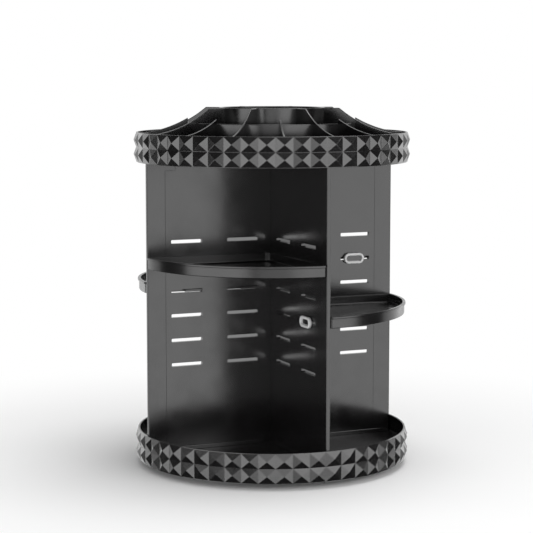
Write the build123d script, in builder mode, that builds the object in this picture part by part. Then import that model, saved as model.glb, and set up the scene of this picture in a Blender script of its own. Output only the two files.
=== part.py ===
"""Rotating makeup organiser, 230 mm across and about 299 mm high, in millimetres.

Two round trays with studded rims are joined by a cross of four slotted walls. Wedge-shaped
shelves hang in the wall slots, and a divided insert with a brush cup fills the top tray.
Everything above the base plate turns on a ball bearing under the bottom tray.

The floor is z = 0, Z is the turning axis, and the front compartment opens towards -Y.
An azimuth is counted from -Y, counter-clockwise seen from above, so +X is at 90 degrees.
"""
from build123d import *
import os
from math import cos, radians, sin, sqrt

os.makedirs("parts", exist_ok=True)

# ---- Studded rims of the two trays ----
stud_count = 52            # pyramids in one row
stud_rows = 2
stud_phase = 2.1           # azimuth of one valley line between studs, degrees
stud_depth = 2.2           # pyramid's tip above its facet
valley_radius = 113.0      # corners where four studs meet
rim_wall = 1.3             # rim's thickness under the studs
rim_height = 24.4
rim_edge_band = 0.4        # plain strip above and below the studs

# ---- Trays ----
floor_thickness = 2.4
floor_recess = 8.1         # tray floor's underside above the rim's lower edge
tray_spacing = 248.4       # from one rim's lower edge to the other's
rib_height = 3.0           # low ribs that hold a wall's edge on a tray floor
rib_thickness = 1.2
rib_inner_radius = 12.0
rib_setback = 3.3          # ribs end this far short of a post's outer edge

# ---- Turntable base and bearing ----
foot_radius = 4.0
foot_edge = 0.6
foot_stem_radius = 2.0
foot_cap_radius = 3.0
foot_cap_height = 0.9
foot_count = 3
foot_setback = 4.5         # foot's centre in from the plate's edge
first_foot_azimuth = 46.5
plate_setback = 15.5       # plate's edge in from the rim's inner face
plate_thickness = 2.3
plate_lip_height = 2.0
plate_lip_width = 2.0
ball_radius = 2.5
ball_count = 18
race_radius = 66.0         # circle that the balls run on
race_shoulder = 3.5        # race on each side of the balls
race_thickness = 2.2
race_web = 1.05            # metal left under the groove
groove_extra = 0.3         # groove radius over ball radius
cage_shoulder = 1.9        # cage on each side of a pocket
cage_thickness = 1.4
journal_radius = 6.0
bush_wall = 2.0
bush_flange_width = 2.0
bush_flange_thickness = 1.0
pivot_screw_radius = 2.0
pivot_screw_web = 1.5      # boss left above the screw's hole
pivot_head_radius = 4.0
pivot_head_height = 2.2
pivot_ground_gap = 0.8     # screw head above the floor
pivot_head_chamfer = 0.6
washer_margin = 1.9        # washer's edge out past the bush's bore
washer_thickness = 1.0
driver_width = 1.0         # cross recess in the pivot screw's head
driver_depth = 1.0
driver_reach = 1.2         # recess length over the head's radius

# ---- Walls ----
wall_thickness = 3.5
panel_outer_radius = 95.4
post_arm_length = 8.6      # how far a post's arms reach in past the panel's edge
post_rim_gap = 0.2         # between a post's outer edge and the rim's inner face
top_arm_depth = 14.0       # post arm below the top tray's floor
bottom_arm_depth = 6.0
slot_rows = 6
slot_pitch = 20.4
slot_height = 3.0
slot_corner_radius = 0.8
slot_length = 27.2
inner_slot_start = 13.9    # inner column's near end, out from the axis
outer_slot_margin = 4.8    # outer column's far end, in from the panel's edge
slot_block_drop = 3.4      # middle of the rows below the middle of the open height
post_edge_fillet = 0.8

# ---- Shelves and clips ----
shelf_overhang = 0.1       # shelf's face past the posts' outer edges
shelf_height = 9.4
shelf_floor = 2.0
shelf_wall = 1.6
shelf_bead = 1.0           # lip bead, out from the shelf's face
shelf_bead_height = 1.8
shelf_corner_fillet = 1.6
shelf_apex_fillet = 6.0
shelf_side_gap = 0.4       # between a shelf's side and the wall
tab_play = 0.6             # between a tab and the lower edge of its slot
tab_width = 14.4
tab_inset = 0.4            # tab's inner end from the slot's inner end
clip_offset = 1.8          # clip's centre in from the outer slot's middle
clip_ring_length = 18.8
clip_ring_height = 9.2
clip_ring_rise = 2.0
clip_ring_wall = 2.3
clip_back_thickness = 0.8
clip_stem_width = 12.0
clip_reach = 7.0           # how far the stem goes under the shelf's side
shelf_rows = {"front": 4, "right": 2, "back": 4, "left": 3}

# ---- Insert of the top tray ----
insert_gap = 0.7           # between the insert and the rim's inner face
insert_floor = 1.6
insert_wall = 1.6
divider_setback = 0.6      # divider's outer end in from the insert's edge
divider_below_rim = 0.3    # divider's low end under the rim's top edge
divider_level_end = 6.0    # level stretch at the low end, before the sweep
divider_crown_radius = 58.0    # where the sweep ends and the level crown begins
divider_sweep_radius = 96.0
divider_count = 16
first_divider_azimuth = 4.3
pocket_ring_radius = 70.0
pocket_ring_height = 20.3
cup_radius = 44.0
cup_height = 32.5
cup_wall = 1.8

# ---- Post screws ----
post_screw_radius = 1.0
post_screw_length = 11.0
post_screw_head_radius = 2.1
post_screw_head_height = 1.2
post_driver_width = 0.5
post_driver_depth = 0.5
post_driver_reach = 1.3

# ---- Clearances ----
fit = 0.1                  # running fits and pushed-in pieces
ball_play = 0.05
seam = 0.2                 # joint line between a wall panel and its post
channel_play = 0.15        # between a wall and the ribs beside it

# ---- Radii worked out from the sizes above ----
stud_step = 360 / stud_count
facet_radius = valley_radius * cos(radians(stud_step / 2))
facet_width = 2 * valley_radius * sin(radians(stud_step / 2))
stud_height = (rim_height - 2 * rim_edge_band) / stud_rows
rim_inner_radius = facet_radius - rim_wall
post_outer_radius = rim_inner_radius - post_rim_gap
post_arm_inner_radius = panel_outer_radius - post_arm_length
post_screw_circle = (panel_outer_radius + seam + post_outer_radius) / 2
rib_outer_radius = post_outer_radius - rib_setback
plate_radius = rim_inner_radius - plate_setback
foot_circle = plate_radius - foot_setback
race_width = 2 * (ball_radius + race_shoulder)
cage_width = 2 * (ball_radius + fit + cage_shoulder)
bush_outer_radius = journal_radius + bush_wall
bush_flange_radius = bush_outer_radius + bush_flange_width
washer_radius = journal_radius + fit + washer_margin
shelf_radius = post_outer_radius + shelf_overhang
insert_radius = rim_inner_radius - insert_gap
divider_outer_radius = insert_radius - divider_setback
slot_columns = (
    inner_slot_start + slot_length / 2,
    panel_outer_radius - outer_slot_margin - slot_length / 2,
)
clip_radius = slot_columns[1] - clip_offset

# ---- Levels worked out from the sizes above ----
foot_height = pivot_ground_gap + pivot_head_height + washer_thickness + fit
plate_bottom = foot_height
plate_top = plate_bottom + plate_thickness
ball_centre_z = plate_top + race_web + ball_play + ball_radius
lower_race_top = plate_top + race_thickness
upper_race_bottom = 2 * ball_centre_z - lower_race_top
floor_underside = 2 * ball_centre_z - plate_top
floor_top = floor_underside + floor_thickness
bottom_rim_z = floor_underside - floor_recess
top_rim_z = bottom_rim_z + tray_spacing
ceiling = top_rim_z + floor_recess
top_floor = ceiling + floor_thickness
insert_top = top_floor + insert_floor
half_wall = wall_thickness / 2
journal_end = plate_bottom - fit
pivot_pilot_depth = floor_underside - journal_end - pivot_screw_web
shelf_drop = slot_height / 2 - tab_play
open_middle = bottom_rim_z + (rim_height + tray_spacing) / 2
lowest_slot = open_middle - slot_block_drop - (slot_rows - 1) * slot_pitch / 2
slot_levels = [lowest_slot + row * slot_pitch for row in range(slot_rows)]
divider_outer_height = top_rim_z + rim_height - divider_below_rim - insert_top

wall_azimuths = {"front_right": 45, "back_right": 135, "back_left": 225, "front_left": 315}
side_azimuths = {"front": 0, "right": 90, "back": 180, "left": 270}


def turned(azimuth):
    """Location that turns a piece drawn along -Y to its azimuth."""
    return Location((0, 0, 0), (0, 0, azimuth))


def along_wall(azimuth):
    """Location that turns a piece drawn along +X to a wall's azimuth."""
    return Location((0, 0, 0), (0, 0, azimuth - 90))


def save(piece, name):
    """Label a finished piece and write its STEP file."""
    piece.label = name
    export_step(piece, f"parts/{name}.step")


# ======================= studded rim =======================

with BuildPart() as stud:
    with BuildSketch(Plane.XZ.offset(facet_radius)) as stud_base:
        Rectangle(facet_width, stud_height)
    loft(sections=[stud_base.sketch, Vertex(0, -facet_radius - stud_depth, 0)])

with BuildPart() as rim:
    with BuildSketch():
        RegularPolygon(valley_radius, stud_count, rotation=stud_phase)
    extrude(amount=rim_height)
    for row in range(stud_rows):
        with Locations((0, 0, rim_edge_band + (row + 0.5) * stud_height)):
            with PolarLocations(0, stud_count, start_angle=stud_phase + stud_step / 2):
                add(stud.part)
    with BuildSketch():
        Circle(rim_inner_radius)
    extrude(amount=rim_height, mode=Mode.SUBTRACT)


def rib_rows():
    """Sketch the pairs of ribs that stand on either side of the four walls."""
    rib_length = rib_outer_radius - rib_inner_radius
    rib_middle = (rib_outer_radius + rib_inner_radius) / 2
    rib_offset = half_wall + channel_play + rib_thickness / 2
    with BuildSketch() as ribs:
        for azimuth in wall_azimuths.values():
            with Locations(along_wall(azimuth)):
                with Locations((rib_middle, rib_offset), (rib_middle, -rib_offset)):
                    Rectangle(rib_length, rib_thickness)
    return ribs.sketch


def post_screw_points():
    """Locations of the four post screws, turned to their walls."""
    places = []
    for azimuth in wall_azimuths.values():
        places.append(along_wall(azimuth) * Location((post_screw_circle, 0, 0)))
    return places


# ======================= bottom tray =======================

ribs = rib_rows()
screw_points = post_screw_points()

with BuildPart() as bottom_tray:
    with Locations((0, 0, bottom_rim_z)):
        add(rim.part)
    with BuildSketch(Plane.XY.offset(floor_underside)):
        Circle((rim_inner_radius + facet_radius) / 2)
    extrude(amount=floor_thickness)
    extrude(ribs.moved(Location((0, 0, floor_top))), amount=rib_height)
    with BuildSketch(Plane.XY.offset(journal_end)):
        Circle(journal_radius)
    extrude(amount=floor_underside - journal_end)
    with BuildSketch(Plane.XY.offset(journal_end)):
        Circle(pivot_screw_radius + fit)
    extrude(amount=pivot_pilot_depth, mode=Mode.SUBTRACT)
    with BuildSketch(Plane.XY.offset(floor_underside)):
        with Locations(screw_points):
            Circle(post_screw_radius + fit)
    extrude(amount=floor_thickness, mode=Mode.SUBTRACT)
save(bottom_tray.part, "bottom_tray")

# ======================= top tray =======================

with BuildPart() as top_tray:
    with Locations((0, 0, top_rim_z)):
        add(rim.part)
    with BuildSketch(Plane.XY.offset(ceiling)):
        Circle((rim_inner_radius + facet_radius) / 2)
    extrude(amount=floor_thickness)
    extrude(ribs.moved(Location((0, 0, ceiling - rib_height))), amount=rib_height)
    with BuildSketch(Plane.XY.offset(ceiling)):
        with Locations(screw_points):
            Circle(post_screw_radius + fit)
    extrude(amount=floor_thickness, mode=Mode.SUBTRACT)
    with BuildSketch(Plane.XY.offset(top_floor - post_screw_head_height - fit)):
        with Locations(screw_points):
            Circle(post_screw_head_radius + fit)
    extrude(amount=post_screw_head_height + fit, mode=Mode.SUBTRACT)
save(top_tray.part, "top_tray")

# ======================= turntable base =======================

with BuildPart() as base_plate:
    with BuildSketch(Plane.XY.offset(plate_bottom)):
        Circle(plate_radius)
        Circle(bush_outer_radius, mode=Mode.SUBTRACT)
        with PolarLocations(foot_circle, foot_count, start_angle=first_foot_azimuth - 90):
            Circle(foot_stem_radius + fit, mode=Mode.SUBTRACT)
    extrude(amount=plate_thickness)
    with BuildSketch(Plane.XY.offset(plate_top)):
        Circle(plate_radius)
        Circle(plate_radius - plate_lip_width, mode=Mode.SUBTRACT)
        with PolarLocations(foot_circle, foot_count, start_angle=first_foot_azimuth - 90):
            Circle(foot_cap_radius + fit, mode=Mode.SUBTRACT)
    extrude(amount=plate_lip_height)
save(base_plate.part, "base_plate")

with BuildPart() as rubber_feet:
    with PolarLocations(foot_circle, foot_count, start_angle=first_foot_azimuth - 90):
        Cylinder(foot_radius, foot_height, align=(Align.CENTER, Align.CENTER, Align.MIN))
    fillet(rubber_feet.edges().group_by(Axis.Z)[0], radius=foot_edge)
    with Locations((0, 0, foot_height)):
        with PolarLocations(foot_circle, foot_count, start_angle=first_foot_azimuth - 90):
            Cylinder(
                foot_stem_radius,
                plate_thickness + fit,
                align=(Align.CENTER, Align.CENTER, Align.MIN),
            )
    with Locations((0, 0, plate_top + fit)):
        with PolarLocations(foot_circle, foot_count, start_angle=first_foot_azimuth - 90):
            Cone(
                foot_cap_radius,
                foot_stem_radius / 2,
                foot_cap_height,
                align=(Align.CENTER, Align.CENTER, Align.MIN),
            )
save(rubber_feet.part, "rubber_feet")

with BuildPart() as centre_bush:
    with BuildSketch(Plane.XY.offset(plate_bottom)):
        Circle(bush_outer_radius)
    extrude(amount=plate_thickness)
    with BuildSketch(Plane.XY.offset(plate_top)):
        Circle(bush_flange_radius)
    extrude(amount=bush_flange_thickness)
    with BuildSketch(Plane.XY.offset(plate_bottom)):
        Circle(journal_radius + fit)
    extrude(amount=plate_thickness + bush_flange_thickness, mode=Mode.SUBTRACT)
save(centre_bush.part, "centre_bush")


def race(bottom):
    """Grooved steel ring that the balls run against, from its lower face up."""
    middle = bottom + race_thickness / 2
    with BuildPart() as ring:
        with BuildSketch(Plane.XZ):
            with Locations((race_radius, middle)):
                Rectangle(race_width, race_thickness)
            groove_z = ball_centre_z + (groove_extra if middle < ball_centre_z else -groove_extra)
            with Locations((race_radius, groove_z)):
                Circle(ball_radius + ball_play + groove_extra, mode=Mode.SUBTRACT)
        revolve(axis=Axis.Z)
    return ring.part


save(race(plate_top), "lower_race")
save(race(upper_race_bottom), "upper_race")

with BuildPart() as ball_cage:
    with BuildSketch(Plane.XY.offset(ball_centre_z - cage_thickness / 2)):
        Circle(race_radius + cage_width / 2)
        Circle(race_radius - cage_width / 2, mode=Mode.SUBTRACT)
        with PolarLocations(race_radius, ball_count):
            Circle(ball_radius + fit, mode=Mode.SUBTRACT)
    extrude(amount=cage_thickness)
save(ball_cage.part, "ball_cage")

with BuildPart() as bearing_balls:
    with Locations((0, 0, ball_centre_z)):
        with PolarLocations(race_radius, ball_count):
            Sphere(ball_radius)
save(bearing_balls.part, "bearing_balls")

with BuildPart() as pivot_washer:
    with BuildSketch(Plane.XY.offset(journal_end - washer_thickness)):
        Circle(washer_radius)
        Circle(pivot_screw_radius + fit, mode=Mode.SUBTRACT)
    extrude(amount=washer_thickness)
save(pivot_washer.part, "pivot_washer")

head_top = journal_end - washer_thickness
with BuildPart() as pivot_screw:
    with BuildSketch(Plane.XY.offset(head_top - pivot_head_height)):
        Circle(pivot_head_radius)
    extrude(amount=pivot_head_height)
    with BuildSketch(Plane.XY.offset(head_top)):
        Circle(pivot_screw_radius)
    extrude(amount=washer_thickness + pivot_pilot_depth - fit)
    chamfer(pivot_screw.edges().group_by(Axis.Z)[0], length=pivot_head_chamfer)
    with BuildSketch(Plane.XY.offset(head_top - pivot_head_height)):
        Rectangle(pivot_head_radius * driver_reach, driver_width)
        Rectangle(driver_width, pivot_head_radius * driver_reach)
    extrude(amount=driver_depth, mode=Mode.SUBTRACT)
save(pivot_screw.part, "pivot_screw")

# ======================= walls =======================

top_arm_z = ceiling - top_arm_depth
bottom_arm_z = floor_top + bottom_arm_depth
panel_inner_radius = half_wall + fit

with BuildPart() as panel_blank:
    with BuildSketch(Plane.XZ):
        with BuildLine():
            Polyline(
                (panel_inner_radius, floor_top),
                (post_arm_inner_radius - seam, floor_top),
                (post_arm_inner_radius - seam, bottom_arm_z + seam),
                (panel_outer_radius, bottom_arm_z + seam),
                (panel_outer_radius, top_arm_z - seam),
                (post_arm_inner_radius - seam, top_arm_z - seam),
                (post_arm_inner_radius - seam, ceiling),
                (panel_inner_radius, ceiling),
                close=True,
            )
        make_face()
        with Locations([(column, level) for column in slot_columns for level in slot_levels]):
            RectangleRounded(slot_length, slot_height, slot_corner_radius, mode=Mode.SUBTRACT)
    extrude(amount=half_wall, both=True)

with BuildPart() as post_blank:
    with BuildSketch(Plane.XZ):
        with BuildLine():
            Polyline(
                (post_arm_inner_radius, floor_top),
                (post_outer_radius, floor_top),
                (post_outer_radius, ceiling),
                (post_arm_inner_radius, ceiling),
                (post_arm_inner_radius, top_arm_z),
                (panel_outer_radius + seam, top_arm_z),
                (panel_outer_radius + seam, bottom_arm_z),
                (post_arm_inner_radius, bottom_arm_z),
                close=True,
            )
        make_face()
    extrude(amount=half_wall, both=True)
    outer_edges = post_blank.edges().filter_by(Axis.Z).group_by(Axis.X)[-1]
    fillet(outer_edges, radius=post_edge_fillet)
    pilot = post_screw_length - floor_thickness + fit
    with Locations((post_screw_circle, 0, floor_top), (post_screw_circle, 0, ceiling - pilot)):
        Cylinder(
            post_screw_radius + fit,
            pilot,
            align=(Align.CENTER, Align.CENTER, Align.MIN),
            mode=Mode.SUBTRACT,
        )

for wall_name, azimuth in wall_azimuths.items():
    with BuildPart() as panel:
        with Locations(along_wall(azimuth)):
            add(panel_blank.part)
    save(panel.part, f"{wall_name}_wall")
    with BuildPart() as post:
        with Locations(along_wall(azimuth)):
            add(post_blank.part)
    save(post.part, f"{wall_name}_post")

with BuildPart() as centre_spine:
    with BuildSketch(Plane.XY.offset(floor_top)):
        Rectangle(wall_thickness, wall_thickness, rotation=45)
    extrude(amount=ceiling - floor_top)
save(centre_spine.part, "centre_spine")

# ======================= post screws =======================


def post_screws(head_face, upwards):
    """Four screws with their heads at head_face and their shanks along +Z or -Z."""
    sense = 1 if upwards else -1
    with BuildPart() as screws:
        with BuildSketch(Plane.XY.offset(head_face)):
            with Locations(screw_points):
                Circle(post_screw_head_radius)
        extrude(amount=sense * post_screw_head_height)
        with BuildSketch(Plane.XY.offset(head_face + sense * post_screw_head_height)):
            with Locations(screw_points):
                Circle(post_screw_radius)
        extrude(amount=sense * (post_screw_length - post_screw_head_height))
        with BuildSketch(Plane.XY.offset(head_face)):
            with Locations(screw_points):
                Rectangle(post_screw_head_radius * post_driver_reach, post_driver_width)
                Rectangle(post_driver_width, post_screw_head_radius * post_driver_reach)
        extrude(amount=sense * post_driver_depth, mode=Mode.SUBTRACT)
    return screws.part


save(post_screws(floor_underside - post_screw_head_height, True), "bottom_screws")
save(post_screws(top_floor, False), "top_screws")

# ======================= shelves and their clips =======================

side_offset = half_wall + shelf_side_gap
wall_along = Vector(sin(radians(45)), -cos(radians(45)))
wall_inward = Vector(-sin(radians(45)), -cos(radians(45)))
slot_inner_ends = [column - slot_length / 2 for column in slot_columns]
tab_centres = [end + tab_inset + tab_width / 2 for end in slot_inner_ends]


def wedge(radius):
    """Sketch a shelf's outline: two sides along the walls and an arc of this radius."""
    reach = sqrt(radius**2 - side_offset**2)
    right = wall_along * reach + wall_inward * side_offset
    apex = Vector(0, -side_offset * sqrt(2))
    with BuildSketch() as outline:
        with BuildLine():
            Line(apex, right)
            ThreePointArc(right, (0, -radius), (-right.X, right.Y))
            Line((-right.X, right.Y), apex)
        make_face()
        inner = outline.vertices().sort_by(Axis.Y)[-1]
        fillet(inner, radius=shelf_apex_fillet)
        corners = outline.vertices().group_by(Axis.Y)[0]
        fillet(corners, radius=shelf_corner_fillet)
    return outline.sketch


with BuildSketch() as shelf_hollow:
    add(wedge(shelf_radius))
    offset(amount=-shelf_wall, kind=Kind.INTERSECTION, mode=Mode.REPLACE)

tab_length = side_offset + half_wall - fit + shelf_wall / 2
tab_middle = side_offset + shelf_wall / 2 - tab_length / 2
right_side = Location((0, 0, 0), (0, 0, -45))
left_side = Location((0, 0, 0), (0, 0, -135))

with BuildPart() as shelf_blank:
    add(wedge(shelf_radius))
    extrude(amount=shelf_height)
    with BuildSketch(Plane.XY.offset(shelf_height - shelf_bead_height)):
        add(wedge(shelf_radius + shelf_bead))
    extrude(amount=shelf_bead_height)
    with BuildSketch(Plane.XY.offset(shelf_floor)):
        add(shelf_hollow.sketch)
    extrude(amount=shelf_height - shelf_floor, mode=Mode.SUBTRACT)
    with BuildSketch():
        with Locations(right_side):
            with Locations([(centre, -tab_middle) for centre in tab_centres]):
                Rectangle(tab_width, tab_length)
        with Locations(left_side):
            with Locations((tab_centres[0], tab_middle)):
                Rectangle(tab_width, tab_length)
    extrude(amount=shelf_floor)
    with BuildSketch():
        with Locations(left_side):
            with Locations((clip_radius, side_offset + clip_reach / 2)):
                Rectangle(clip_stem_width + 2 * fit, clip_reach)
    extrude(amount=shelf_floor, mode=Mode.SUBTRACT)

clip_foot = -half_wall - seam
with BuildPart() as clip_blank:
    clip_plane = Plane(origin=(0, clip_foot, shelf_drop), x_dir=(1, 0, 0), z_dir=(0, -1, 0))
    with BuildSketch(clip_plane):
        with Locations((clip_radius, 0)):
            SlotOverall(clip_ring_length, clip_ring_height)
    extrude(amount=clip_back_thickness)
    with BuildSketch(clip_plane.offset(clip_back_thickness)):
        with Locations((clip_radius, 0)):
            SlotOverall(clip_ring_length, clip_ring_height)
            SlotOverall(
                clip_ring_length - 2 * clip_ring_wall,
                clip_ring_height - 2 * clip_ring_wall,
                mode=Mode.SUBTRACT,
            )
    extrude(amount=clip_ring_rise)
    stem_length = side_offset + clip_reach - fit - clip_foot
    with BuildSketch():
        with Locations((clip_radius, clip_foot + stem_length / 2)):
            Rectangle(clip_stem_width, stem_length)
    extrude(amount=shelf_floor)

for side, azimuth in side_azimuths.items():
    shelf_z = slot_levels[shelf_rows[side]] - shelf_drop
    place = Location((0, 0, shelf_z)) * turned(azimuth)
    with BuildPart() as shelf:
        with Locations(place):
            add(shelf_blank.part)
    save(shelf.part, f"{side}_shelf")
    with BuildPart() as clip:
        with Locations(place * left_side):
            add(clip_blank.part)
    save(clip.part, f"{side}_shelf_clip")

# ======================= insert of the top tray =======================

with BuildPart() as insert_plate:
    with BuildSketch(Plane.XY.offset(top_floor)):
        Circle(insert_radius)
    extrude(amount=insert_floor)
save(insert_plate.part, "insert_plate")

with BuildPart() as brush_cup:
    with BuildSketch(Plane.XY.offset(insert_top)):
        Circle(cup_radius)
        Circle(cup_radius - cup_wall, mode=Mode.SUBTRACT)
    extrude(amount=cup_height)
save(brush_cup.part, "brush_cup")

half_ring = insert_wall / 2
crown_z = insert_top + cup_height - fit
low_z = insert_top + divider_outer_height


def divider(inner_radius):
    """One upright divider whose top sweeps up from the rim towards the cup."""
    with BuildPart() as fin:
        with BuildSketch(Plane.XZ):
            with BuildLine():
                foot = (divider_outer_radius, insert_top)
                corner = (divider_outer_radius, low_z)
                sweep_start = (divider_outer_radius - divider_level_end, low_z)
                sweep_end = (divider_crown_radius, crown_z)
                inner_top = (cup_radius + fit, crown_z)
                inner_foot = (cup_radius + fit, insert_top)
                Line(foot, corner)
                Line(corner, sweep_start)
                RadiusArc(sweep_start, sweep_end, divider_sweep_radius)
                Line(sweep_end, inner_top)
                Line(inner_top, inner_foot)
                Line(inner_foot, foot)
            make_face()
        extrude(amount=half_ring, both=True)
        with BuildSketch(Plane.XY.offset(insert_top)):
            Circle(inner_radius)
        extrude(amount=cup_height, mode=Mode.SUBTRACT)
    return fin.part


lap_z = insert_top + pocket_ring_height / 2
long_fin = divider(cup_radius + fit)
with BuildPart() as long_blank:
    add(long_fin)
    with BuildSketch(Plane.XY.offset(insert_top)):
        Circle(pocket_ring_radius + half_ring + fit)
        Circle(pocket_ring_radius - half_ring - fit, mode=Mode.SUBTRACT)
    extrude(amount=lap_z - insert_top, mode=Mode.SUBTRACT)
short_fin = divider(pocket_ring_radius + half_ring + fit)

divider_step = 360 / divider_count
long_turns = [first_divider_azimuth + 2 * k * divider_step for k in range(divider_count // 2)]
short_turns = [turn + divider_step for turn in long_turns]

with BuildPart() as long_dividers:
    with Locations([along_wall(turn) for turn in long_turns]):
        add(long_blank.part)
save(long_dividers.part, "long_dividers")

with BuildPart() as short_dividers:
    with Locations([along_wall(turn) for turn in short_turns]):
        add(short_fin)
save(short_dividers.part, "short_dividers")

with BuildPart() as pocket_ring:
    with BuildSketch(Plane.XY.offset(insert_top)):
        Circle(pocket_ring_radius + half_ring)
        Circle(pocket_ring_radius - half_ring, mode=Mode.SUBTRACT)
    extrude(amount=pocket_ring_height)
    with BuildSketch(Plane.XY.offset(lap_z - fit)):
        with Locations([along_wall(turn) for turn in long_turns]):
            with Locations((pocket_ring_radius, 0)):
                Rectangle(2 * insert_wall, insert_wall + 2 * fit)
    extrude(amount=pocket_ring_height, mode=Mode.SUBTRACT)
save(pocket_ring.part, "pocket_ring")
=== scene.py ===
"""Dressed model of a rotating makeup organiser, in metres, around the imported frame.

The floor is z = 0 and Z is the turning axis. Shapes are worked out in millimetres on numpy
grids and scaled once, when a piece is made. A turn is counted from +X and an azimuth from -Y,
both counter-clockwise seen from above, so +X is at an azimuth of 90 degrees.
"""

import logging
from dataclasses import dataclass, field
from enum import Enum
from typing import Any

import bmesh
import bpy
import numpy as np
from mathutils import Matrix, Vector


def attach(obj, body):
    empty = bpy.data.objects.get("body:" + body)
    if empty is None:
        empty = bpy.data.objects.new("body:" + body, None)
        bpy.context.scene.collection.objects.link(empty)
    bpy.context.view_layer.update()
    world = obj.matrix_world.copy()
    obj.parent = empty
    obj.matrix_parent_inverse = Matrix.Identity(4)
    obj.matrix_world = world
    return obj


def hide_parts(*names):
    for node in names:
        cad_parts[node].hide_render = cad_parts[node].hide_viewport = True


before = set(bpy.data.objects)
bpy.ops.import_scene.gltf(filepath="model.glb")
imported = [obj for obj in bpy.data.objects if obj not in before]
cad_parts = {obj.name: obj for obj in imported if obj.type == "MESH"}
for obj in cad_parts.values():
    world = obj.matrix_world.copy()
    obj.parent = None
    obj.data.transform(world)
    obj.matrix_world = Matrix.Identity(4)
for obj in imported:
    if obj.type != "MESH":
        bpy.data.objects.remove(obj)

Array = np.ndarray
Material = bpy.types.Material
Socket = bpy.types.NodeSocket
Pair = tuple[float, float]
Triple = tuple[float, float, float]

LOG = logging.getLogger("organiser")
MM = 0.001
MERGE_DISTANCE = 2e-6  # metres
SLIVER_LENGTH = 1e-7  # metres
FLAT_TURN = 0.6  # degrees between faces that are joined into one
CURVE_NORMAL_WEIGHT = 90
WALL_TURNS = (-45.0, 45.0, 135.0, 225.0)
RIGHT_WALL, LEFT_WALL = -45.0, -135.0  # turns of the two walls beside the front shelf
BLACK = (0.0040, 0.0038, 0.0039)
WHITE = (1.0, 1.0, 1.0, 1.0)


class Body(str, Enum):
    """The rigid bodies that pieces ride on."""

    BASE = "base"
    CAROUSEL = "carousel"


class Slot(str, Enum):
    """The record's material slots that pieces name; nothing here applies them to the meshes."""

    BLACK = "black_plastic"
    SATIN = "black_satin"
    CLIP = "grey_clip"
    RUBBER = "rubber"


# ---- finishes


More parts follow.
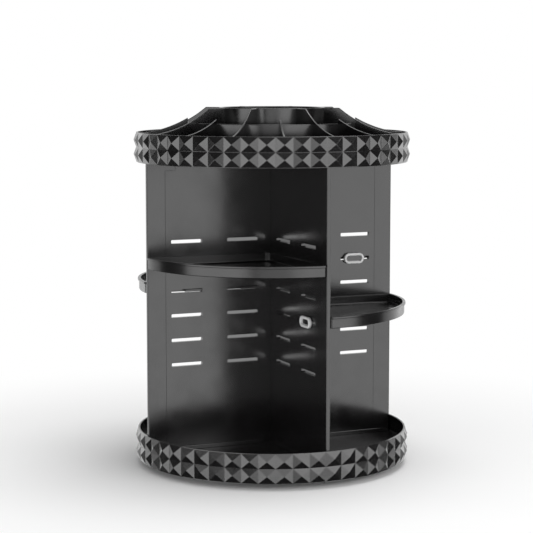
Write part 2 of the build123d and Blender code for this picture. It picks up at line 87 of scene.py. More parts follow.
class Sheet:
    """Node tree of a material or the world, with short calls to add and join nodes."""

    def __init__(self, owner: Material | bpy.types.World, shader: str, place: str) -> None:
        """Start from the shader that the owner comes with.

        Args:
            owner: the material or the world.
            shader: name of its own shader node.
            place: the texture coordinates that patterns are laid on.
        """
        owner.use_nodes = True
        self.owner = owner
        self.tree = owner.node_tree
        self.shader = self.tree.nodes[shader]
        self.place = self.add("TexCoord").outputs[place]

    @staticmethod
    def of_material(name: str) -> "Sheet":
        """Sheet of a new material, on object coordinates."""
        return Sheet(bpy.data.materials.new(name), "Principled BSDF", "Object")

    def add(self, kind: str, **settings: Any) -> bpy.types.Node:
        """Add a node and set its properties.

        Args:
            kind: the node's Blender type, without its ShaderNode prefix.
            **settings: properties of the node.

        Returns:
            The new node.
        """
        node = self.tree.nodes.new(f"ShaderNode{kind}")
        for key, value in settings.items():
            setattr(node, key, value)
        return node

    def join(self, source: Socket, target: Socket) -> None:
        """Link one socket to another."""
        self.tree.links.new(source, target)

    def noise(self, scale: float | Triple, detail: float, turn: float = 0.0) -> Socket:
        """Noise from 0 to 1.

        Args:
            scale: features per metre, in every direction or along X, Y and Z.
            detail: octaves.
            turn: turn of the stretched pattern about Z, in radians.

        Returns:
            The value socket.
        """
        node = self.add("TexNoise")
        node.inputs["Detail"].default_value = detail
        vector = self.place
        if isinstance(scale, tuple):
            mapping = self.add("Mapping")
            mapping.inputs["Scale"].default_value = scale
            mapping.inputs["Rotation"].default_value = (0.0, 0.0, turn)
            self.join(vector, mapping.inputs["Vector"])
            vector, scale = mapping.outputs["Vector"], 1.0
        node.inputs["Scale"].default_value = scale
        self.join(vector, node.inputs["Vector"])
        return node.outputs["Fac"]

    def between(self, value: Socket, span: Pair, to: Pair = (0.0, 1.0)) -> Socket:
        """Map a span of a value onto another span, smoothly and clamped.

        Args:
            value: the socket to map.
            span: the span that is read.
            to: the span that it becomes.

        Returns:
            The mapped socket.
        """
        node = self.add("MapRange", interpolation_type="SMOOTHSTEP")
        for key, number in zip(("From Min", "From Max", "To Min", "To Max"), (*span, *to)):
            node.inputs[key].default_value = number
        self.join(value, node.inputs["Value"])
        return node.outputs["Result"]

    def math(self, operation: str, first: Socket, second: Socket) -> Socket:
        """Join two values by a Math node's operation."""
        node = self.add("Math", operation=operation)
        self.join(first, node.inputs[0])
        self.join(second, node.inputs[1])
        return node.outputs["Value"]

    def rays(self, first: str, second: str) -> Socket:
        """Value that is 1 for rays of two kinds, named as in the Light Path node, else 0."""
        path = self.add("LightPath")
        return self.math("MAXIMUM", path.outputs[first], path.outputs[second])

    def blend(self, share: Socket, first: Socket, second: Socket) -> Socket:
        """Blend two shaders: only the first at a share of 0, only the second at 1."""
        node = self.add("MixShader")
        for source, target in zip((share, first, second), node.inputs):
            self.join(source, target)
        return node.outputs["Shader"]

    def bump(self, height: Socket, depth: float, strength: float) -> None:
        """Raise the surface by a height map, after any bump that is there already.

        Args:
            height: value from 0 to 1.
            depth: metres that a value of 1 stands proud.
            strength: share of the effect.
        """
        node = self.add("Bump")
        node.inputs["Strength"].default_value = strength
        node.inputs["Distance"].default_value = depth
        self.join(height, node.inputs["Height"])
        normal = self.shader.inputs["Normal"]
        if normal.is_linked:
            self.join(normal.links[0].from_socket, node.inputs["Normal"])
        self.join(node.outputs["Normal"], normal)

    def tint(self, amount: Socket, low: Triple, high: Triple) -> None:
        """Blend the base colour between two colours.

        Args:
            amount: value from 0 to 1.
            low: colour at 0.
            high: colour at 1.
        """
        node = self.add("Mix", data_type="RGBA")
        node.inputs["A"].default_value = (*low, 1.0)
        node.inputs["B"].default_value = (*high, 1.0)
        self.join(amount, node.inputs["Factor"])
        self.join(node.outputs["Result"], self.shader.inputs["Base Color"])


@dataclass(frozen=True)
class Moulded:
    """Injection-moulded plastic: cloudy gloss, fine tool texture, hairline rubs and dust.

    Scales are features per metre and depths are metres.
    """

    name: str
    colour: Triple
    roughness: float
    cloud: float = 0.05
    grain_depth: float = 0.000006
    dust: float = 0.008
    ior: float = 1.52
    cloud_scale: float = 55.0
    cloud_span: Pair = (0.3, 0.7)
    rub: float = 0.08
    rub_scale: Triple = (260.0, 260.0, 2600.0)
    rub_turn: float = 0.6
    rub_span: Pair = (0.70, 0.80)
    grain_pitch: float = 0.00045
    grain_strength: float = 0.6
    wave_scale: float = 30.0
    wave_depth: float = 0.00005
    wave_strength: float = 0.3
    speck_scale: float = 1500.0
    speck_span: Pair = (0.69, 0.76)

    def make(self) -> Material:
        """Build the material, its roughness, bump and colour driven by object coordinates."""
        sheet = Sheet.of_material(self.name)
        shader = sheet.shader
        shader.inputs["IOR"].default_value = self.ior
        gloss = (self.roughness - self.cloud, self.roughness + self.cloud)
        clouds = sheet.between(sheet.noise(self.cloud_scale, 3.0), self.cloud_span, gloss)
        rubs = sheet.noise(self.rub_scale, 4.0, self.rub_turn)
        hairlines = sheet.between(rubs, self.rub_span, (0.0, self.rub))
        sheet.join(sheet.math("ADD", clouds, hairlines), shader.inputs["Roughness"])
        grain = sheet.noise(1.0 / self.grain_pitch, 1.0)
        sheet.bump(grain, self.grain_depth, self.grain_strength)
        sheet.bump(sheet.noise(self.wave_scale, 1.0), self.wave_depth, self.wave_strength)
        specks = sheet.between(sheet.noise(self.speck_scale, 2.0), self.speck_span)
        dusty = tuple(channel + self.dust for channel in self.colour)
        sheet.tint(specks, self.colour, dusty)
        return sheet.owner


@dataclass(frozen=True)
class Rubber:
    """Soft rubber: dull, slightly bloomed, with a fine pebble."""

    name: str
    colour: Triple
    bloom_scale: float = 240.0
    bloom_gain: float = 1.7
    bloom_lift: float = 0.01
    roughness: Pair = (0.62, 0.82)
    pebble_scale: float = 2600.0
    pebble_depth: float = 0.00003
    pebble_strength: float = 0.7

    def make(self) -> Material:
        """Build the material."""
        sheet = Sheet.of_material(self.name)
        bloom = sheet.noise(self.bloom_scale, 4.0)
        pale = tuple(channel * self.bloom_gain + self.bloom_lift for channel in self.colour)
        sheet.tint(sheet.between(bloom, (0.35, 0.75)), self.colour, pale)
        dulled = sheet.between(bloom, (0.3, 0.7), self.roughness)
        sheet.join(dulled, sheet.shader.inputs["Roughness"])
        sheet.bump(sheet.noise(self.pebble_scale, 1.0), self.pebble_depth, self.pebble_strength)
        return sheet.owner


@dataclass(frozen=True)
class Steel:
    """Bare or plated steel with fine turned or ground lines and a few stains."""

    name: str
    colour: Triple
    roughness: float
    stain_scale: float = 160.0
    stain_gain: float = 0.72
    line_scale: Triple = (9000.0, 9000.0, 500.0)
    line_spread: Pair = (0.07, 0.12)
    line_depth: float = 0.000008
    line_strength: float = 0.5

    def make(self) -> Material:
        """Build the material."""
        sheet = Sheet.of_material(self.name)
        sheet.shader.inputs["Metallic"].default_value = 1.0
        stains = sheet.between(sheet.noise(self.stain_scale, 4.0), (0.35, 0.75))
        dark = tuple(channel * self.stain_gain for channel in self.colour)
        sheet.tint(stains, self.colour, dark)
        lines = sheet.noise(self.line_scale, 3.0)
        below, above = self.line_spread
        gloss = (self.roughness - below, self.roughness + above)
        sheet.join(sheet.between(lines, (0.2, 0.8), gloss), sheet.shader.inputs["Roughness"])
        sheet.bump(lines, self.line_depth, self.line_strength)
        return sheet.owner


def made(look: Moulded | Rubber | Steel) -> Any:
    """Field of a dataclass whose value is the look's material, made with the instance."""
    return field(default_factory=look.make)


@dataclass
class Finishes:
    """Every finish of the organiser, made once."""

    rim: Material = made(Moulded("rim_black", BLACK, 0.22, 0.03, grain_depth=4e-6, ior=1.62))
    wall: Material = made(Moulded("wall_black", BLACK, 0.20, 0.03, ior=1.48))
    shelf: Material = made(Moulded("shelf_black", BLACK, 0.23, 0.03, ior=1.48))
    insert: Material = made(Moulded("insert_black", BLACK, 0.22, 0.03))
    plate: Material = made(
        Moulded("plate_black", (0.018, 0.018, 0.019), 0.48, grain_depth=2e-5, dust=0.03)
    )
    clip: Material = made(Moulded("clip_grey", (0.40, 0.40, 0.40), 0.18, 0.03, dust=0.02))
    nylon: Material = made(Moulded("nylon_natural", (0.66, 0.63, 0.56), 0.42, ior=1.53))
    rubber: Material = made(Rubber("rubber_black", (0.022, 0.022, 0.022)))
    race: Material = made(Steel("race_steel", (0.56, 0.56, 0.57), 0.30))
    ball: Material = made(Steel("ball_steel", (0.66, 0.66, 0.67), 0.14))
    screw: Material = made(Steel("screw_zinc", (0.52, 0.52, 0.55), 0.33))


# ---- surfaces


@dataclass
class Surface:
    """Points in millimetres and the faces between them."""

    points: Array
    faces: list[tuple[int, ...]]

    @staticmethod
    def joined(parts: list["Surface"]) -> "Surface":
        """Put several surfaces into one, each face keeping its own points."""
        shifts = np.cumsum([0] + [len(part.points) for part in parts[:-1]])
        faces = [
            tuple(int(index + shift) for index in face)
            for part, shift in zip(parts, shifts)
            for face in part.faces
        ]
        return Surface(np.vstack([part.points for part in parts]), faces)

    def turned(self, degrees: float) -> "Surface":
        """Copy turned about Z: x' = x cos - y sin, y' = x sin + y cos."""
        turn = np.radians(degrees)
        cos, sin = np.cos(turn), np.sin(turn)
        matrix = np.array([[cos, -sin, 0.0], [sin, cos, 0.0], [0.0, 0.0, 1.0]])
        return Surface(self.points @ matrix.T, self.faces)

    def moved(self, x: float = 0.0, y: float = 0.0, z: float = 0.0) -> "Surface":
        """Copy moved along the axes."""
        return Surface(self.points + np.array([x, y, z]), self.faces)


def around(radius: Array | float, turn: Array) -> Array:
    """Points at a radius and turns in radians: (r cos t, r sin t), one in each row."""
    return radius * np.column_stack([np.cos(turn), np.sin(turn)])


def grid_faces(rows: int, columns: int, wrap: bool) -> Array:
    """Quads of a grid of points numbered row by row, each row closed on itself.

    Args:
        rows: number of rows of points.
        columns: number of points in a row.
        wrap: also join the last row to the first.

    Returns:
        One row of four point numbers for each quad.
    """
    last = rows if wrap else rows - 1
    row, column = np.meshgrid(np.arange(last), np.arange(columns), indexing="ij")
    row, column = row.ravel(), column.ravel()
    here, up = row * columns, (row + 1) % rows * columns
    across = (column + 1) % columns
    return np.stack((here + column, here + across, up + across, up + column), axis=1)


def loops(faces: Array) -> list[tuple[int, ...]]:
    """Rows of point numbers as the tuples that a mesh takes."""
    return [tuple(map(int, face)) for face in faces]


def eased(profile: list[Triple], steps: int = 4) -> Array:
    """Round the corners of a profile.

    Each corner p with cut c is replaced by a quadratic curve from p + c u to p + c v, where u
    and v point to its neighbours: (1-t)^2 a + 2 t (1-t) p + t^2 b.

    Args:
        profile: corners as (x, y, cut) in order round a closed outline.
        steps: points along each curve.

    Returns:
        The rounded outline, one point in each row.
    """
    data = np.array(profile, float)
    corner, cut = data[:, :2], data[:, 2:3]
    before, after = np.roll(corner, 1, axis=0) - corner, np.roll(corner, -1, axis=0) - corner
    before /= np.linalg.norm(before, axis=1, keepdims=True)
    after /= np.linalg.norm(after, axis=1, keepdims=True)
    start, end = (corner + before * cut)[:, None], (corner + after * cut)[:, None]
    t = np.linspace(0.0, 1.0, steps)[None, :, None]
    curve = (1 - t) ** 2 * start + 2 * t * (1 - t) * corner[:, None] + t**2 * end
    return curve.reshape(-1, 2)


def lathe(profile: Array, segments: int) -> Surface:
    """Turn a closed profile about Z: (r cos a, r sin a, z) for a from 0 to a full turn.

    Args:
        profile: radius and height of each point, round the closed outline.
        segments: columns round the axis.

    Returns:
        The surface. Points on the axis coincide and are merged when the piece is made.
    """
    angle = np.linspace(0.0, 2 * np.pi, segments, endpoint=False)
    radius, height = profile[:, :1], profile[:, 1:]
    level = np.broadcast_to(height, (len(profile), segments))
    points = np.stack([radius * np.cos(angle), radius * np.sin(angle), level], axis=2)
    return Surface(points.reshape(-1, 3), loops(grid_faces(len(profile), segments, True)))


def block(low: Triple, high: Triple) -> Surface:
    """Box between two corners, its eight points counted in binary x, y, z."""
    index = (np.arange(8)[:, None] >> np.arange(3)) & 1
    points = np.take_along_axis(np.array([low, high]), index, axis=0)
    faces = [(0, 2, 3, 1), (4, 5, 7, 6), (0, 1, 5, 4), (2, 6, 7, 3), (0, 4, 6, 2), (1, 3, 7, 5)]
    return Surface(points, faces)


def plate(outline: Array, half: float) -> Surface:
    """Slab with this outline in X and Z, from y = -half to y = +half.

    Args:
        outline: x and z of each point round the closed outline.
        half: half the slab's thickness.

    Returns:
        The closed slab, its two faces single polygons.
    """
    count = len(outline)
    front = np.column_stack([outline[:, 0], np.full(count, -half), outline[:, 1]])
    back = front * np.array([1.0, -1.0, 1.0])
    caps = [tuple(range(count)), tuple(range(2 * count - 1, count - 1, -1))]
    return Surface(np.vstack([front, back]), loops(grid_faces(2, count, False)) + caps)


# ---- pieces


def linked(name: str, data: bpy.types.ID) -> bpy.types.Object:
    """New object with this data, linked to the scene."""
    item = bpy.data.objects.new(name, data)
    bpy.context.scene.collection.objects.link(item)
    return item


def merged(mesh: bpy.types.Mesh) -> bmesh.types.BMesh:
    """Editable copy of a mesh with its doubles merged."""
    work = bmesh.new()
    work.from_mesh(mesh)
    bmesh.ops.remove_doubles(work, verts=work.verts, dist=MERGE_DISTANCE)
    return work


@dataclass(frozen=True)
class Edge:
    """How a piece's sharp edges are eased: width in millimetres, angle in degrees."""

    width: float
    segments: int = 2
    angle: float = 22.0
    flat: bool = True


@dataclass(frozen=True)
class Piece:
    """A piece of the dressed model: its name, finish, node, body, slot and eased edges."""

    name: str
    material: Material
    node: str = ""
    body: Body = Body.CAROUSEL
    slot: Slot = Slot.BLACK
    edge: Edge | None = None

    def shaped(self, surface: Surface) -> None:
        """Make the piece from a surface in millimetres.

        Doubles are merged, so seams and poles close, and normals are worked out again.

        Args:
            surface: its points and faces.
        """
        mesh = bpy.data.meshes.new(self.name)
        mesh.from_pydata((surface.points * MM).tolist(), [], surface.faces)
        work = merged(mesh)
        bmesh.ops.dissolve_degenerate(work, dist=SLIVER_LENGTH, edges=work.edges)
        self.hang(work, mesh)

    def copied(self) -> None:
        """Make the piece from its flat-sided node, with points merged and flat faces joined."""
        work = merged(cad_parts[self.node].data)
        parts = {"verts": work.verts, "edges": work.edges}
        bmesh.ops.dissolve_limit(work, angle_limit=np.radians(FLAT_TURN), delimit=set(), **parts)
        self.hang(work, bpy.data.meshes.new(self.name))

    def hang(self, work: bmesh.types.BMesh, mesh: bpy.types.Mesh) -> None:
        """Put the work into the mesh, smooth, ease and paint it, and hang it on its body."""
        bmesh.ops.recalc_face_normals(work, faces=work.faces)
        work.to_mesh(mesh)
        work.free()
        piece = linked(self.name, mesh)
        mesh.materials.append(self.material)
        mesh.shade_smooth()
        if self.edge is None:
            weighted = piece.modifiers.new("even_normals", "WEIGHTED_NORMAL")
            weighted.weight = CURVE_NORMAL_WEIGHT
        else:
            self.ease(piece, self.edge)
        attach(piece, self.body.value)
        if self.node:
            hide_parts(self.node)
        LOG.info("%s: %d faces on %s", self.name, len(mesh.polygons), self.body.value)

    @staticmethod
    def ease(piece: bpy.types.Object, edge: Edge) -> None:
        """Ease the sharp edges of an object with a bevel."""
        if edge.flat:
            piece.data.shade_flat()
        bevel = piece.modifiers.new("eased_edges", "BEVEL")
        bevel.width = edge.width * MM
        bevel.segments = edge.segments
        bevel.limit_method = "ANGLE"
        bevel.angle_limit = np.radians(edge.angle)
        bevel.harden_normals = not edge.flat
        bevel.use_clamp_overlap = True


def dress(material: Material, *nodes: str) -> None:
    """Give nodes that keep their own shape a finish.

    Args:
        material: the finish.
        *nodes: names of the nodes.
    """
    for node in nodes:
        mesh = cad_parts[node].data
        mesh.materials.clear()
        mesh.materials.append(material)
        LOG.info("%s keeps its shape, finished in %s", node, material.name)


class Part:
    """The organiser or a sub-assembly of it, its heights in millimetres above the floor."""

    def build(self, finishes: Finishes) -> None:
        """Make the part's pieces.

        Args:
            finishes: the organiser's finishes.
        """
        raise NotImplementedError


# ---- trays


@dataclass
class StuddedTray(Part):
    """Round tray whose rim carries two rows of four-sided studs.

    The bottom tray has its wall ribs above the floor and a journal underneath; the top tray
    has its ribs underneath and no journal.
    """

    name: str
    low: float
    at_bottom: bool
    stud_count: int = 52
    splits: int = 4
    phase: float = 2.1
    valley_radius: float = 113.0
    stud_depth: float = 2.2
    inner_radius: float = 111.494
    height: float = 24.4
    band: float = 0.4
    floor_low: float = 8.1
    floor_high: float = 10.5
    floor_dip: float = 0.25
    dip_radii: Pair = (10.0, 107.494)
    journal_radius: float = 6.0
    journal_end: float = -1.5
    bore_radius: float = 2.1
    bore_top: float = 6.6
    rib_height: float = 3.0
    rib_half: float = 0.6
    rib_offset: float = 2.5
    rib_root: float = 0.3
    rib_ends: Pair = (12.0, 108.0)
    rim_edge: Edge = Edge(0.3, angle=12.0, flat=False)
    rib_edge: Edge = Edge(0.3)

    def underside(self) -> list[Triple]:
        """Corners of the tray's underside from the axis outwards, above its lower edge."""
        if not self.at_bottom:
            return [(0.0, self.floor_low, 0.0)]
        bore, journal = self.bore_radius, self.journal_radius
        top, end, floor = self.bore_top, self.journal_end, self.floor_low
        below = [(bore, end, 0.15), (journal, end, 0.4)]
        return [(0.0, top, 0.0), (bore, top, 0.0), *below, (journal, floor, 0.0)]

    def inside(self) -> Array:
        """Profile of everything inside the rim, from its top edge round to its lower edge.

        Returns:
            Radius and height above the rim's lower edge, rounded at each corner.
        """
        radius, floor = self.inner_radius, self.floor_high
        dip = floor - self.floor_dip
        inner, outer = self.dip_radii
        corners = [
            (radius, self.height, 0.0), (radius, floor, 1.4),
            (outer + 0.8, floor, 0.4), (outer, dip, 0.4),
            (inner, dip, 1.0), (inner - 1.0, floor, 0.6), (0.0, floor, 0.0),
            *self.underside(),
            (radius, self.floor_low, 1.0), (radius, 0.0, 0.0),
        ]
        return eased(corners)

    def levels(self) -> Array:
        """Heights of the rim's five rings: lower edge, three stud borders, top edge."""
        stud_height = (self.height - 2 * self.band) / 2
        middle = self.band + stud_height
        return np.array([0.0, self.band, middle, self.height - self.band, self.height])

    def rings(self) -> Array:
        """Points of the rim's outside and of the profile inside it, ring by ring.

        The rim's outside is a polygon: r = facet radius / cos(angle from the facet's middle).

        Returns:
            x, y and z by ring and column.
        """
        columns = self.stud_count * self.splits
        step = 2 * np.pi / self.stud_count
        number = np.arange(columns)
        angle = np.radians(self.phase) + number * step / self.splits
        share = (number % self.splits) / self.splits - 0.5
        polygon = self.facet / np.cos(share * step)
        levels, profile = self.levels(), self.inside()
        outside = np.tile(polygon, (len(levels), 1))
        radii = np.vstack([outside, np.tile(profile[:, :1], (1, columns))])
        height = np.concatenate([levels, profile[:, 1]])
        heights = np.tile(height[:, None], (1, columns))
        return np.stack([radii * np.cos(angle), radii * np.sin(angle), heights], axis=2)

    @property
    def facet(self) -> float:
        """Radius of the middle of a stud's base."""
        return self.valley_radius * np.cos(np.pi / self.stud_count)

    def tips(self) -> Array:
        """Tips of the studs, one depth outside the middles of their facets, row by row."""
        number = np.arange(self.stud_count) + 0.5
        turn = np.radians(self.phase) + number * 2 * np.pi / self.stud_count
        levels = self.levels()
        spots = around(self.facet + self.stud_depth, turn)
        centres = (levels[1:3] + levels[2:4]) / 2
        return np.vstack([np.column_stack([spots, np.full(len(spots), z)]) for z in centres])

    def shell(self) -> Surface:
        """Rim, floor and studs as one closed surface, each tip joined to its facet's edges.

        Returns:
            The surface, in millimetres above the rim's lower edge.
        """
        rings, tips = self.rings(), self.tips()
        columns = rings.shape[1]
        quads = grid_faces(len(rings), columns, True)
        row = quads[:, 0] // columns
        faces = loops(quads[(row != 1) & (row != 2)])  # the studs take the place of rows 1, 2
        base = np.arange(self.stud_count) * self.splits
        across = (base[:, None] + np.arange(self.splits + 1)) % columns
        point = (len(rings) * columns + np.arange(self.stud_count))[:, None]
        for stud_row in (0, 1):
            below = across + (1 + stud_row) * columns
            above = across + (2 + stud_row) * columns
            tip = point + stud_row * self.stud_count
            faces += loops(np.hstack([tip, above]))
            faces += loops(np.hstack([tip, below[:, ::-1]]))
            faces += loops(np.hstack([tip, below[:, :1], above[:, :1]]))
            faces += loops(np.hstack([tip, above[:, -1:], below[:, -1:]]))
        return Surface(np.vstack([rings.reshape(-1, 3), tips]), faces)

    def ribs(self) -> Surface:
        """Pairs of low ribs on either side of each wall, their roots let into the floor."""
        if self.at_bottom:
            low, high = self.floor_high - self.rib_root, self.floor_high + self.rib_height
        else:
            low, high = self.floor_low - self.rib_height, self.floor_low + self.rib_root
        (start, end), half = self.rib_ends, self.rib_half
        bars = [
            block((start, centre - half, low), (end, centre + half, high)).turned(turn)
            for turn in WALL_TURNS
            for centre in (-self.rib_offset, self.rib_offset)
        ]
        return Surface.joined(bars)

    def build(self, finishes: Finishes) -> None:
        """Make the tray and its ribs."""
        moulding = Piece(f"{self.name}_moulding", finishes.rim, self.name, edge=self.rim_edge)
        moulding.shaped(self.shell().moved(z=self.low))
        ribs = Piece(f"{self.name}_wall_ribs", finishes.rim, edge=self.rib_edge)
        ribs.shaped(self.ribs().moved(z=self.low))


# ---- walls


@dataclass
class CrossWalls(Part):
    """Four slotted wall panels, their edge posts and the spine where they meet."""

    corners: tuple[str, ...] = ("front_right", "back_right", "back_left", "front_left")
    panel_edge: Edge = Edge(0.2, angle=30.0)
    post_edge: Edge = Edge(0.3, angle=30.0)
    seam_radius: float = 95.5
    arm_radius: float = 86.7
    seam_levels: Pair = (22.1, 247.9)
    seam_ends: Pair = (16.5, 261.5)
    tongue_half: Pair = (0.5, 0.9)

    def tongues(self) -> Surface:
        """Bands inside the walls' thickness that close the seam between panel and post.

        The seam runs up from the lower arm, out to the post, up along it and back to the
        upper arm. A band reaches a little to both sides of it.
        """
        half, depth = self.tongue_half
        (low, high), (start, end) = self.seam_levels, self.seam_ends
        arm, post = self.arm_radius, self.seam_radius
        seam = [(arm, start), (arm, low), (post, low), (post, high), (arm, high), (arm, end)]
        reach = half * np.array([(1, 0), (1, -1), (1, -1), (1, 1), (1, 1), (1, 0)])
        band = plate(np.vstack([seam + reach, (seam - reach)[::-1]]), depth)
        return Surface.joined([band.turned(turn) for turn in WALL_TURNS])

    def build(self, finishes: Finishes) -> None:
        """Make the panels and posts, close their seams and dress the spine."""
        wall = finishes.wall
        for side in self.corners:
            Piece(f"{side}_panel", wall, f"{side}_wall", edge=self.panel_edge).copied()
            Piece(f"{side}_edge_post", wall, f"{side}_post", edge=self.post_edge).copied()
        Piece("wall_seam_tongues", wall).shaped(self.tongues())
        dress(wall, "centre_spine")


# ---- shelves

SHELF_SECTION = (
    (-0.7, 0.7, 0.0), (-0.25, 0.25, 0.12), (0.0, 0.0, 0.6), (0.0, 0.0, 7.35), (0.25, 0.0, 7.5),
    (0.8, 0.0, 7.6), (1.0, 0.0, 7.85), (1.0, 0.0, 8.95), (0.8, 0.08, 9.27), (0.45, 0.3, 9.4),
    (-1.15, 1.2, 9.4), (-1.45, 1.5, 9.3), (-1.6, 1.6, 9.0), (-1.6, 1.6, 3.3), (-1.8, 1.8, 2.6),
    (-2.5, 2.5, 2.12), (-3.4, 3.4, 2.0),
)
"""Outlines of a shelf from its underside, over the lip, to its floor: growth of the arc,
inset of the sides, height."""


@dataclass
class WedgeShelf(Part):
    """Wedge shelf with a beaded lip, hooked into the wall slots, and its clip."""

    side: str
    azimuth: float
    low: float
    radius: float = 111.394
    side_gap: float = 2.15
    corner: float = 1.6
    corner_least: float = 0.5
    corner_points: int = 8
    apex: float = 6.0
    apex_least: float = 1.0
    apex_points: int = 10
    arc_points: int = 70
    tab_centres: Pair = (21.5, 71.0)
    tab_width: float = 14.4
    tab_height: float = 2.0
    tab_ends: Pair = (-1.65, 2.95)
    tab_edge: Edge = Edge(0.25)
    ring_edge: Edge = Edge(0.75, 3, 35.0, False)
    # black pad of painted shade laid in the clip's recess
    painted_shade_centre: Triple = (75.2, -2.83, 0.9)
    painted_shade_size: Pair = (13.8, 4.2)
    painted_shade_half: float = 0.12
    painted_shade_points: int = 12
    painted_shade_edge: Edge = Edge(0.08)

    def outline(self, out: float, inset: float) -> Array:
        """Closed outline of the shelf, grown outwards at its arc and inset at its sides.

        The sides lie one gap off the two walls, which stand at 45 degrees to -Y. A circle of
        the corner's radius is tangent to a side and to the arc, and one of the apex's radius to
        both sides.

        Args:
            out: added to the arc's radius.
            inset: added to the gap between side and wall.

        Returns:
            x and y of each point, counter-clockwise seen from above.
        """
        radius, gap = self.radius + out, self.side_gap + inset
        corner = max(self.corner - inset, self.corner_least)
        apex = max(self.apex - inset, self.apex_least)
        along = np.array([np.sqrt(0.5), -np.sqrt(0.5)])
        inward = np.array([-np.sqrt(0.5), -np.sqrt(0.5)])
        reach = np.sqrt((radius - corner) ** 2 - (gap + corner) ** 2)
        centre = along * reach + inward * (gap + corner)
        toward = np.arctan2(centre[1], centre[0])
        right = centre + around(corner, np.linspace(toward, np.pi / 4, self.corner_points))
        tip = around(apex, np.linspace(np.pi / 4, 3 * np.pi / 4, self.apex_points))
        tip += np.array([0.0, -(gap + apex) * np.sqrt(2)])
        left = (right * np.array([-1.0, 1.0]))[::-1]
        sweep = np.linspace(-np.pi - toward, toward, self.arc_points + 2)[1:-1]
        return np.vstack([right, tip, left, around(radius, sweep)])

    def pan(self) -> Surface:
        """The shelf's pan: outlines stacked from its underside, over the lip, to its floor."""
        outlines = [self.outline(out, inset) for out, inset, _ in SHELF_SECTION]
        count = len(outlines[0])
        rings = [
            np.column_stack([outline, np.full(count, height)])
            for outline, (_, _, height) in zip(outlines, SHELF_SECTION)
        ]
        last = (len(rings) - 1) * count
        caps = [tuple(range(count - 1, -1, -1)), tuple(range(last, last + count))]
        return Surface(np.vstack(rings), loops(grid_faces(len(rings), count, False)) + caps)

    def tabs(self) -> Surface:
        """Flat tabs that hook through the slots: two on the right side, one on the left."""
        half, (inner, outer) = self.tab_width / 2, self.tab_ends
        top = self.tab_height
        right = [
            block((centre - half, -outer, 0.0), (centre + half, -inner, top)).turned(RIGHT_WALL)
            for centre in self.tab_centres
        ]
        centre = self.tab_centres[0]
        left = block((centre - half, inner, 0.0), (centre + half, outer, top))
        return Surface.joined([*right, left.turned(LEFT_WALL)])

    def painted_shade_pad(self) -> Surface:
        """Painted shade: a black pad in the clip's recess, two half circles joined by straight
        sides.
        """
        length, height = self.painted_shade_size
        turn = np.linspace(-np.pi / 2, np.pi / 2, self.painted_shade_points)
        right = around(height / 2, turn) + np.array([(length - height) / 2, 0.0])
        pad = plate(np.vstack([right, -right]), self.painted_shade_half)
        return pad.moved(*self.painted_shade_centre).turned(LEFT_WALL)

    def build(self, finishes: Finishes) -> None:
        """Make the pan with its tabs, and the clip with its black pad of painted shade."""
        side = self.side
        pan = Piece(f"{side}_shelf_pan", finishes.shelf, f"{side}_shelf")
        tabs = Piece(f"{side}_shelf_tabs", finishes.shelf, edge=self.tab_edge)
        # black pad in the clip's recess: painted shade, not a part of the clip
        painted_shade_pad = Piece(f"{side}_clip_painted_shade", finishes.wall, edge=self.painted_shade_edge)
        pan.shaped(self.placed(self.pan()))
        tabs.shaped(self.placed(self.tabs()))
        clip = f"{side}_shelf_clip"
        ring = Piece(f"{side}_clip_ring", finishes.clip, clip, slot=Slot.CLIP, edge=self.ring_edge)
        ring.copied()
        painted_shade_pad.shaped(self.placed(self.painted_shade_pad()))

    def placed(self, surface: Surface) -> Surface:
        """Copy of a front shelf's surface at this shelf's azimuth and height."""
        return surface.turned(self.azimuth).moved(z=self.low)


# ---- insert


